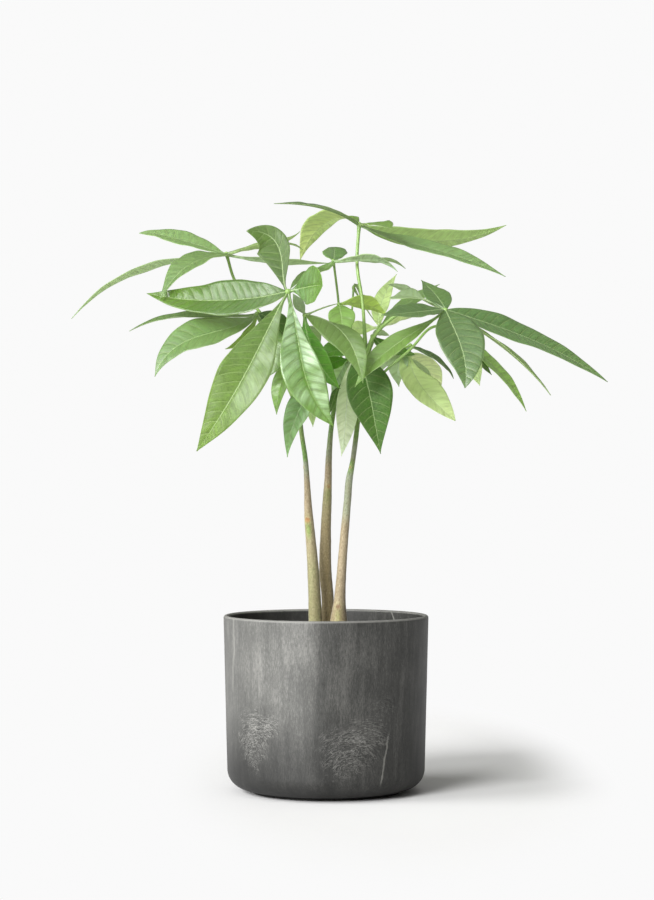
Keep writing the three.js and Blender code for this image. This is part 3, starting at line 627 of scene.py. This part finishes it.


# Leaf finish: pale midrib, side veins that run in furrows darkened with painted shade, finer furrows beside
# them with painted shade in their hollows and painted light on their ridges, a light line at the edge that
# is a painted highlight, mottling and a fine net. The smoother a leaf is, the more its clear coat shows,
# and some light shines through it, least at the midrib.
def leafFinish():
    f = Finish("leafSkin")
    aside, along, phase = f.split(f.read("blade", "Vector"))
    far, rough, sheer = f.split(f.read("skin", "Vector"))
    tint = f.read("tint")
    place = f.place()
    cloud = f.noise(place, 28, 2)
    grain = f.noise(place, 5, 1)
    net = f.node("ShaderNodeTexVoronoi", {"feature": "DISTANCE_TO_EDGE"}, {
        "Vector": place, "Scale": 1 / 2.6,
    })
    lanes = f.node("ShaderNodeCombineXYZ", None, {0: phase * 5, 1: aside * 0.12, 2: along * 2})
    furrow = f.noise(lanes, 1, 2, 0.5, 0.4)
    ribWidth = 0.6 - 0.35 * along
    rib = f.range(abs(aside) / ribWidth, 1.25, 0.55) * f.range(along, 1, 0.8, 0.15, 1)
    fromVein = abs(phase - phase.maths("ROUND"))
    inside = f.range(far, 0.97, 0.8)
    vein = f.range(fromVein, 0.045, 0.01) * inside
    groove = f.range(fromVein, 0.22, 0.03) * inside
    edge = f.range(far, 0.955, 0.99) * f.range(along, 0.96, 0.8, 0.1, 1)
    mottled = f.mix(f.range(cloud, 0.25, 0.75), (0.9, 0.94, 0.92, 1), (1.1, 1.06, 1.08, 1))
    lively = f.mix(1.0, tint, mottled, "MULTIPLY")
    # Painted shade in the fine furrows and beside the veins, deepest on glossy leaflets, and painted light
    # on the ridges
    depth = 1 + f.range(furrow, 0.5, 0.72, 0, 0.22) - f.range(furrow, 0.5, 0.3, 0, 0.3)
    depth = depth * (1 - groove * f.range(rough, 0.55, 0.3, 0.16, 0.38))
    depth = depth * (1 - f.range(grain, 0.35, 0.7, 0, 0.1))
    furrowShaded = f.node("ShaderNodeVectorMath", {"operation": "SCALE"}, {0: lively, "Scale": depth})
    netted = f.mix(f.range(net, 0.16, 0.02, 0, 0.08), furrowShaded, rgba((176, 200, 120)))
    veined = f.mix(vein * 0.34, netted, rgba((176, 200, 132)))
    ribbed = f.mix(rib * 0.5, veined, rgba((170, 192, 136)))
    # Light line along the edge: a painted highlight on the rim
    rimHighlighted = f.mix(edge * 0.3, ribbed, rgba((186, 204, 156)))
    through = f.node("ShaderNodeBsdfTranslucent", None, {"Color": (0.78, 0.92, 0.48, 1)})
    f.blend(sheer * (1 - rib * 0.7), through)
    return f.done(
        Base_Color=rimHighlighted,
        Roughness=rough + f.range(grain, 0.3, 0.7, -0.05, 0.07),
        Normal=f.bump(grain * 0.6 + furrow - groove * 0.9, 0.38, 0.5),
        Specular_IOR_Level=0.5,
        Coat_Weight=f.range(rough, 0.5, 0.28, 0.08, 0.32),
        Coat_Roughness=0.22,
    )


# Bark finish: the tint of each height with tall dull patches, fine upright speckles and small brown dots
def barkFinish():
    f = Finish("barkSkin")
    tint = f.read("tint")
    speck = f.noise(f.place((1, 1, 0.45)), 0.9, 3, 0.65)
    patch = f.noise(f.place((1, 1, 0.3)), 6)
    dots = f.node("ShaderNodeTexVoronoi", None, {"Vector": f.place((1, 1, 0.6)), "Scale": 1 / 2.4})
    shade = f.mix(f.range(patch, 0.35, 0.7, 0, 0.45), tint, rgba((128, 116, 84)))
    dark = f.mix(f.range(speck, 0.52, 0.66, 0, 0.5), shade, rgba((84, 72, 48)))
    light = f.mix(f.range(speck, 0.46, 0.32, 0, 0.35), dark, rgba((190, 180, 150)))
    dotted = f.mix(f.range(dots, 0.2, 0.1, 0, 0.55), light, rgba((96, 66, 42)))
    return f.done(
        Base_Color=dotted,
        Roughness=f.range(speck, 0.3, 0.7, 0.55, 0.75),
        Normal=f.bump(speck + dots * 0.5, 0.3, 0.6),
        Specular_IOR_Level=0.35,
        Sheen_Weight=0.3,
        Sheen_Roughness=0.5,
    )


barkLook = {
    "sides": 48, "step": 1.1, "collar": 0.5, "collarReach": 2.6, "healed": (196, 190, 140),
    "tan": (154, 139, 112), "brown": (140, 126, 90), "olive": (136, 134, 94), "greyGreen": (142, 152, 128),
    "green": (104, 142, 68),
}
# Colour changes up each stem: height and colour
barkBands = {
    "trunk_left": [
        (140, "olive"), (205, "olive"), (240, "tan"), (286, "tan"), (298, "greyGreen"), (304, "greyGreen"),
        (307, "green"),
    ],
    "trunk_middle": [
        (140, "brown"), (240, "brown"), (276, "olive"), (284, "tan"), (300, "tan"), (312, "greyGreen"),
        (340, "green"),
    ],
    "trunk_right": [
        (140, "brown"), (175, "tan"), (244, "tan"), (262, "greyGreen"), (292, "greyGreen"), (298, "green"),
        (306, "green"), (309, "greyGreen"), (318, "greyGreen"), (328, "green"),
    ],
}
# Scars: height, bearing in degrees from +X, width, colour of the wound and of the bark under it
scars = {
    "trunk_left": [(251, 250, 5.4, (174, 88, 40), (116, 148, 62)), (300, 200, 2, (150, 120, 70), None)],
    "trunk_middle": [(282, 285, 4.2, (160, 104, 56), (128, 140, 74)), (231, 20, 2.6, (120, 96, 62), None)],
    "trunk_right": [(171, 262, 5.2, (110, 24, 32), (150, 150, 96)), (300, 245, 2.2, (140, 120, 70), None)],
}


# Stem: level rings along the spline. The radius has lumps, a collar where each stalk leaves, and at each
# scar a raised rim with a dip in it. Each is a bell: e to minus the square of the distance over its reach.
def stemShell(name):
    points = np.asarray(stems[name], float)
    t = np.linspace(0, 1, int((points[-1, 2] - points[0, 2]) / barkLook["step"]))
    axis = splineAt(points[:, :3], t)
    girth = splineAt(points[:, 3:], t)
    angle = np.linspace(0, 2 * np.pi, barkLook["sides"], endpoint=False)
    reach = np.stack([np.cos(angle), np.sin(angle), 0 * angle], axis=-1)
    start = axis[:, None] + reach * girth[..., None]
    z = axis[:, 2:3]
    radius = girth * (1 + 0.02 * lumps(start, 14, 3) + 0.015 * lumps(start, 4, 4))
    radius = radius + 0.06 * lumps(start * [1, 1, 0.5], 1.5, 5)
    for stem, height, *_ in leaves.values():
        if stem == name:
            radius = radius + barkLook["collar"] * np.exp(-(((z - height) / barkLook["collarReach"]) ** 2))
    heights, colours = zip(*barkBands[name])
    bands = linear([barkLook[colour] for colour in colours])
    tint = np.stack([np.interp(z, heights, bands[:, i]) for i in range(3)], axis=-1) + 0 * start[..., :1]
    for height, bearing, width, wound, below in scars[name]:
        turn = (angle - math.radians(bearing) + math.pi) % (2 * math.pi) - math.pi
        aside = turn * girth
        away = np.sqrt(aside**2 + ((z - height) / 1.25) ** 2)
        rim = np.exp(-((away / (0.75 * width)) ** 2))
        dip = np.exp(-((away / (0.3 * width)) ** 2))
        radius = radius + 0.16 * width * rim - 0.14 * width * dip
        tint = partWay(tint, linear(barkLook["healed"]), (0.5 * rim)[..., None])
        tint = partWay(tint, linear(wound), (0.95 * np.exp(-((away / (0.42 * width)) ** 4)))[..., None])
        if below is not None:
            lower = (z - height + 1.6 * width) / (1.5 * width)
            patch = np.exp(-((aside / (0.6 * width)) ** 2) - lower**2)
            tint = partWay(tint, linear(below), (0.85 * patch)[..., None])
    tip = ease(1, 0.985, t)[:, None]
    return shell(axis[:, None] + reach * (radius * (0.25 + 0.75 * tip))[..., None], tint=opaque(tint))


pot = {
    "rim": 95, "height": 163, "wallFoot": 91.6, "wall": 4.5, "corner": 18.5, "foot": 70, "footHeight": 3,
    "footBevel": 0.8, "floor": 6, "sides": 320, "wallStep": 1.6,
}
soil = {
    "top": 142, "gap": 0.3, "drop": 1, "ripple": 1.1, "sides": 180,
    "crumbs": 900, "crumbReach": 86, "crumbSize": (0.8, 2.6), "paleShare": 0.05,
    "dark": (78, 58, 44), "light": (112, 84, 60), "pale": (196, 190, 176),
}


# Points of an arc about a centre, between two angles in degrees
def arc(centre, radius, fromAngle, toAngle, steps):
    angle = np.radians(np.linspace(fromAngle, toAngle, steps))
    return np.stack([centre[0] + radius * np.cos(angle), centre[1] + radius * np.sin(angle)], axis=1)


# Points of a straight line, a step or a little more apart
def straight(first, last, step):
    count = max(2, int(np.hypot(*(np.subtract(last, first))) / step))
    return np.linspace(first, last, count)


# Turned skin of an outline of [radius, height], which starts and ends close to the axis
def turned(outline, sides):
    angle = np.linspace(0, 2 * np.pi, sides, endpoint=False)
    r, z = outline[:, :1, None], outline[:, 1:, None]
    spread = np.stack([np.cos(angle), np.sin(angle)], axis=-1)[None]
    return np.concatenate([r * spread, np.broadcast_to(z, (len(outline), sides, 1))], axis=2)


# Pot: flat foot, round lower corner, tapered wall with a faint relief, round lip, and the same inside
def potShell():
    p = pot
    corner = p["footHeight"] + p["corner"]
    lip = p["wall"] / 2
    inner = p["corner"] - p["wall"]
    innerFloor = p["footHeight"] + p["floor"]
    wallOut = straight((p["wallFoot"], corner), (p["rim"], p["height"] - lip), p["wallStep"])
    innerTop = (p["rim"] - p["wall"], p["height"] - lip)
    innerLow = (p["wallFoot"] - p["wall"], innerFloor + inner)
    outline = np.vstack([
        [(0.5, 0)], straight((8, 0), (p["foot"] - p["footBevel"], 0), 8), [(p["foot"], p["footBevel"])],
        [(p["foot"], p["footHeight"])],
        arc((p["wallFoot"] - p["corner"], corner), p["corner"], -90, 0, 18), wallOut[1:],
        arc((p["rim"] - lip, p["height"] - lip), lip, 0, 180, 14)[1:],
        straight(innerTop, innerLow, 4)[1:],
        arc((innerLow[0] - inner, innerLow[1]), inner, 0, -90, 10)[1:],
        [(8, innerFloor)], [(0.5, innerFloor)],
    ])
    rings = turned(outline, p["sides"])
    outer = (np.hypot(rings[..., 0], rings[..., 1]) > p["foot"] + 4) & (rings[..., 2] > p["footHeight"] + 1)
    relief = 0.05 * lumps(rings * [1, 1, 0.15], 3, 21) + 0.08 * lumps(rings, 26, 22)
    rings[..., :2] *= (1 + outer * relief / p["rim"])[..., None]
    return shell(rings)


# Clumps on the pot: place around it from the front, height, half width and half height, how far below it
# the arcs of its strokes turn, how strong they are, and a number that makes each unlike the rest
potLook = {"clumps": [
    (24, 47, 27, 23, 30, 0.9, 0.0), (40, 62, 24, 14, 34, 0.8, 2.4), (-76, 56, 20, 26, 20, 1.1, 7.3),
    (-60, 68, 16, 12, 26, 1.1, 3.1), (56, 86, 15, 11, 16, 0.4, 5.2),
]}


# Pot finish: dark stone grey with fine upright fibres in slow tongues, lighter on the left half and darker
# on
# the right: partly the stone's own tone, partly painted light and painted shade. Curved strokes like frost
# gather in clumps, along arcs about a point below each: noise over (distance, bearing). Two pale lines run
# up the front and a third down the inside at the back. The inner wall has painted shade, darkest on the
# left, and the lip is paler with a painted highlight.
def potFinish():
    f = Finish("potStone")
    place = f.place()
    x, y, z = f.split(place)
    around = (x / (0 - y)).maths("ARCTANGENT") * pot["rim"]
    fibre = f.noise(f.place((1, 1, 0.2)), 0.75, 4, 0.6)
    streak = f.noise(f.place((1, 1, 0.12)), 3.2, 4, 0.6, 0.5)
    tongue = f.noise(f.place((1, 1, 0.13)), 17, 3, 0.5, 0.9)
    cloud = f.noise(place, 34)
    # Lighter left half and darker right half, with a wavy border: partly the stone's own tone, partly
    # painted light and painted shade
    border = x + (f.noise(f.place((1, 1, 0.35)), 24) - 0.5) * 34
    paleToneAndLitHalf = f.range(border, 6, -28)
    ragged = f.noise(place, 9, 4, 0.65)
    grain = f.noise(place, 0.6, 2, 0.6)
    light, dark, whole = 0, 0, 0
    for middle, height, wide, tall, below, strong, seed in potLook["clumps"]:
        aside, rise = around - middle, z - height
        blob = aside * aside / wide**2 + rise * rise / tall**2 + (ragged - 0.5) * 3.5
        inside = strong * f.range(blob, 1.6, 0.1)
        rise = z - (height - below)
        far = (aside * aside + rise * rise) ** 0.5
        turn = aside.maths("ARCTAN2", rise)
        lanes = f.node("ShaderNodeCombineXYZ", None, {0: far * 0.48, 1: turn * 3, 2: z * 0.04 + seed})
        stroke = f.noise(lanes, 1, 3, 0.55, 1.1)
        light = light + inside * f.range(abs(stroke - 0.5), 0.05, 0.0)
        dark = dark + inside * f.range(stroke, 0.45, 0.32)
        whole = whole + inside
    line = f.range(abs(x - 53 - (z - 40) * 0.16 - 3 * (ragged - 0.5)), 1.2, 0.2)
    line = line * f.range(z, 12, 20) * f.range(z, 66, 50)
    edgeLine = f.range(abs(x + 84 - (z - 125) * 0.02 - 4 * (cloud - 0.5)), 1.0, 0.2)
    edgeLine = edgeLine * f.range(z, 92, 104) * 0.7
    front = f.range(y, 0, -10)
    value = 0.5 + (tongue - 0.5) * 0.6 + (streak - 0.5) * 0.4 + (fibre - 0.5) * 0.95 + (cloud - 0.5) * 0.45
    value = value + (grain - 0.5) * 0.5
    within = f.range((x * x + y * y) ** 0.5, pot["rim"] - 1.5, pot["rim"] - 3.5)
    within = within * f.range(z, pot["height"] - 0.5, pot["height"] - 3)
    seam = f.range(abs(x - 62 - (pot["height"] - z) * 0.35), 0.9, 0.3) * within * f.range(y, 0, 10)
    tone = f.node("ShaderNodeValToRGB", {"stops": [
        (0.1, linear((50, 50, 48))), (0.5, linear((86, 86, 83))), (0.9, linear((128, 127, 123))),
    ]}, {0: value})
    toneWithLitHalf = f.mix(paleToneAndLitHalf, f.mix(0.45, tone, (0, 0, 0, 1)), f.mix(0.03, tone, (1, 1, 0.97, 1)))
    # Painted shade on the inner wall below the rim, darkest on the left
    shaded = f.mix(within * f.range(x, 60, -50, 0.25, 0.8), toneWithLitHalf, rgba((20, 20, 20)))
    dimmed = f.mix(whole * 0.14 + dark * 0.42, shaded, rgba((44, 44, 42)))
    feathered = f.mix(light * 0.36 + seam * 0.4, dimmed, rgba((168, 167, 162)))
    lined = f.mix((line + edgeLine) * front * 0.4, feathered, rgba((160, 159, 153)))
    # Paler band on the top of the lip: a painted highlight
    lip = f.range(abs(z - pot["height"] + 0.6), 1.5, 0.6)
    rimHighlighted = f.mix(lip * 0.4, lined, rgba((150, 149, 145)))
    return f.done(
        Base_Color=rimHighlighted,
        Roughness=f.range(fibre, 0.3, 0.7, 0.46, 0.6),
        Normal=f.bump(fibre * 0.6 + streak * 0.5 + light * 0.6 - dark * 0.4, 0.2, 0.45),
        Specular_IOR_Level=0.3,
    )


# Height of the soil's ripples: a sine across, and one along that a cosine across makes come and go
def ripple(x, y):
    return soil["ripple"] * (np.sin(x / 9) + np.sin(y / 7 + 1) * np.cos(x / 13))


# Soil: fills the pot, its top gently uneven and crumbly
def soilShell():
    p, s = pot, soil
    bottom = p["footHeight"] + p["floor"] + s["gap"]
    inner = p["corner"] - p["wall"]
    corner = p["footHeight"] + p["corner"]
    reach = p["wallFoot"] - p["wall"] - s["gap"]
    edge = reach + (p["rim"] - p["wallFoot"]) * (s["top"] - corner) / (p["height"] - corner)
    rings = turned(np.vstack([
        [(0.5, bottom)], arc((reach - inner, bottom + inner), inner, -90, 0, 8),
        straight((reach, corner + 4), (edge, s["top"] - s["drop"]), 12),
        straight((edge - 0.6, s["top"]), (0.5, s["top"]), 1.5),
    ]), s["sides"])
    x, y, z = rings[..., 0], rings[..., 1], rings[..., 2]
    onTop = z >= s["top"] - s["drop"] / 2
    rough = 0.9 * lumps(rings, 5, 31) + 0.6 * lumps(rings, 2.4, 32)
    rings[..., 2] = z + onTop * (ripple(x, y) + rough)
    return shell(rings)


# Crumbs: icosahedra strewn over the soil, stretched and uneven, a few of them pale. Their corners are those
# of three golden rectangles, and a facet joins any three that are all near each other.
def crumbShells(rng):
    golden = (1 + 5**0.5) / 2
    rectangle = [[-1, golden, 0], [1, golden, 0], [-1, -golden, 0], [1, -golden, 0]]
    knots = unit(np.vstack([np.roll(rectangle, turn, axis=1) for turn in range(3)]))
    near = knots @ knots.T > 0.4
    facets = np.array([
        (i, j, k) for i, j, k in np.ndindex(12, 12, 12)
        if i < min(j, k) and near[i, j] and near[j, k] and near[k, i]
        and np.linalg.det(knots[[i, j, k]]) > 0.1       # outwards, and three different corners
    ])
    count = soil["crumbs"]
    bearing = rng.uniform(0, 2 * np.pi, count)
    away = soil["crumbReach"] * np.sqrt(rng.uniform(0, 1, count))
    size = rng.uniform(*soil["crumbSize"], count)
    x, y = away * np.cos(bearing), away * np.sin(bearing)
    middle = np.stack([x, y, soil["top"] + ripple(x, y) + 0.2 * size], axis=1)
    stretch = rng.uniform(0.5, 1.3, (count, 1, 3)) * size[:, None, None]
    shapes = knots[None] * stretch * rng.uniform(0.75, 1.2, (count, 12, 1)) + middle[:, None]
    tint = partWay(linear(soil["dark"]), linear(soil["light"]), rng.uniform(-0.3, 1.2, (count, 1)))
    tint[rng.uniform(0, 1, count) < soil["paleShare"]] = linear(soil["pale"])
    return [{
        "points": shapes.reshape(-1, 3), "quads": np.zeros((0, 4), int),
        "fans": (facets[None] + 12 * np.arange(count)[:, None, None]).reshape(-1, 3),
        "tint": np.repeat(opaque(np.clip(tint, 0.004, 1)), 12, axis=0),
    }]


# Soil finish: dark brown peat with lumps in two sizes
def soilFinish():
    f = Finish("soilPeat")
    place = f.place()
    lump = f.noise(place, 3, 5, 0.7)
    fine = f.noise(place, 0.8, 3, 0.7)
    colour = f.node("ShaderNodeValToRGB", {"stops": [
        (0.3, linear((40, 30, 24))), (0.55, linear((70, 52, 40))), (0.8, linear((104, 82, 62))),
    ]}, {0: lump * 0.7 + fine * 0.3})
    rough = f.range(fine, 0.3, 0.7, 0.85, 0.98)
    return f.done(Base_Color=colour, Roughness=rough, Normal=f.bump(lump + fine * 0.5, 1.2, 0.8))


# Crumb finish: each crumb's own brown, darker in fine specks
def crumbFinish():
    f = Finish("soilCrumb")
    fine = f.noise(f.place(), 0.9, 3, 0.7)
    colour = f.mix(f.range(fine, 0.4, 0.7, 0, 0.6), f.read("tint"), rgba((46, 34, 26)))
    rough = f.range(fine, 0.3, 0.7, 0.8, 0.95)
    return f.done(Base_Color=colour, Roughness=rough, Normal=f.bump(fine, 0.4, 0.6))


# Pieces are named after their nodes: trunk_left gives trunkLeft
def camel(node):
    first, *rest = node.split("_")
    return first + "".join(word.capitalize() for word in rest)


leafSkin = leafFinish()
foliage = bpy.data.collections.new("foliage")
for number, (node, (stem, height, via, hub, radius, leaflets)) in enumerate(leaves.items()):
    rng = np.random.default_rng(100 + number)
    shells = stalkShells(stem, height, via, hub, radius)
    shells += [leafletShell(hub, leaflet, rng) for leaflet in leaflets]
    foliage.objects.link(makePiece(camel(node), shells, leafSkin, [node]))
print("leaves:", len(leaves))

barkSkin = barkFinish()
for node in stems:
    makePiece(camel(node), [stemShell(node)], barkSkin, [node])
print("stems:", len(stems))

makePiece("stonePot", [potShell()], potFinish(), ["pot"])
makePiece("pottingSoil", [soilShell()], soilFinish(), ["soil"])
makePiece("soilCrumbs", crumbShells(np.random.default_rng(7)), crumbFinish(), [])
print("pot and soil made")

# Studio: a white floor that fades into the white backdrop away from its middle, a low soft key light from
# the front left, a side light, a wide light overhead, one from behind, a fill that reaches the leaves alone
# and a soft box that shows only as a shine
studio = {
    "white": 0.955, "floorShade": 0.66, "bounceShade": 0.45, "floorReach": 40,
    "middle": (60, 170), "reach": (165, 520), "fade": (0.8, 1.35),
    "shine": {"toward": (-0.45, -0.62, 0.64), "fade": (0.2, 1.0), "low": 0.1, "high": 0.42},
    "ambient": (0.155, 0.15, 0.139, 1),
}
# Lamps: strength, how far to the right of the front and how high in degrees, and how wide each seems
lamps = {
    "key": (4.7, -35, 24, 28),
    "side": (2.1, -76, 32, 34),
    "top": (0.75, -20, 75, 50),
    "back": (0.35, 140, 35, 60),
    "leafFill": (1.1, 10, -8, 70),
}
floorFinish = Finish("studioFloor")
x, y = floorFinish.split(floorFinish.place())[:2]
seen = floorFinish.node("ShaderNodeLightPath", output="Is Camera Ray")
across = (x - studio["middle"][0]) / studio["reach"][0]
back = (y - studio["middle"][1]) / studio["reach"][1]
share = floorFinish.range((across * across + back * back) ** 0.5, *studio["fade"])
backdrop = floorFinish.node("ShaderNodeEmission", None, {"Strength": studio["white"]})
shade = floorFinish.range(seen, 0, 1, studio["bounceShade"], studio["floorShade"])
floorSkin = floorFinish.done(Base_Color=shade, Roughness=1.0, Specular_IOR_Level=0.0)
floorFinish.blend(share, backdrop)
reach = studio["floorReach"]
corners = [(-reach, -reach, 0), (reach, -reach, 0), (reach, reach, 0), (-reach, reach, 0)]
floorMesh = bpy.data.meshes.new("studioFloor")
floorMesh.from_pydata(corners, [], [(0, 1, 2, 3)])
floorMesh.materials.append(floorSkin)
floorPiece = placed("studioFloor", floorMesh)

for name, (strength, azimuth, height, spread) in lamps.items():
    azimuth, height = math.radians(azimuth), math.radians(height)
    level = math.cos(height)
    toward = Vector((math.sin(azimuth) * level, -math.cos(azimuth) * level, math.sin(height)))
    lamp = bpy.data.lights.new(name, "SUN")
    lamp.energy = strength
    lamp.angle = math.radians(spread)
    holder = placed(name, lamp)
    holder.rotation_euler = toward.to_track_quat("Z", "Y").to_euler()
# The last lamp stands for the light that leaves pass on to each other
holder.light_linking.receiver_collection = foliage
lamp.use_shadow = False

# World: white to the camera, a soft box above on the left to shiny surfaces, a dim even light to the rest
sky = Finish("studio", bpy.data.worlds)
bpy.context.scene.world = sky.owner
shine = studio["shine"]
bearing = sky.node("ShaderNodeTexCoord", output="Generated")
toBox = sky.node("ShaderNodeVectorMath", {"operation": "DOT_PRODUCT"}, {
    0: bearing, 1: Vector(shine["toward"]).normalized(),
}, output="Value")
box = sky.range(toBox, *shine["fade"], shine["low"], shine["high"])
lit = sky.mix(sky.node("ShaderNodeLightPath", output="Is Glossy Ray"), studio["ambient"], box)
white = (studio["white"], studio["white"], studio["white"], 1)
shown = sky.mix(sky.node("ShaderNodeLightPath", output="Is Camera Ray"), lit, white)
sky.feed(sky.tree.nodes["Background"], {"Color": shown})
bpy.context.scene.view_settings.view_transform = "Standard"
print("studio made")
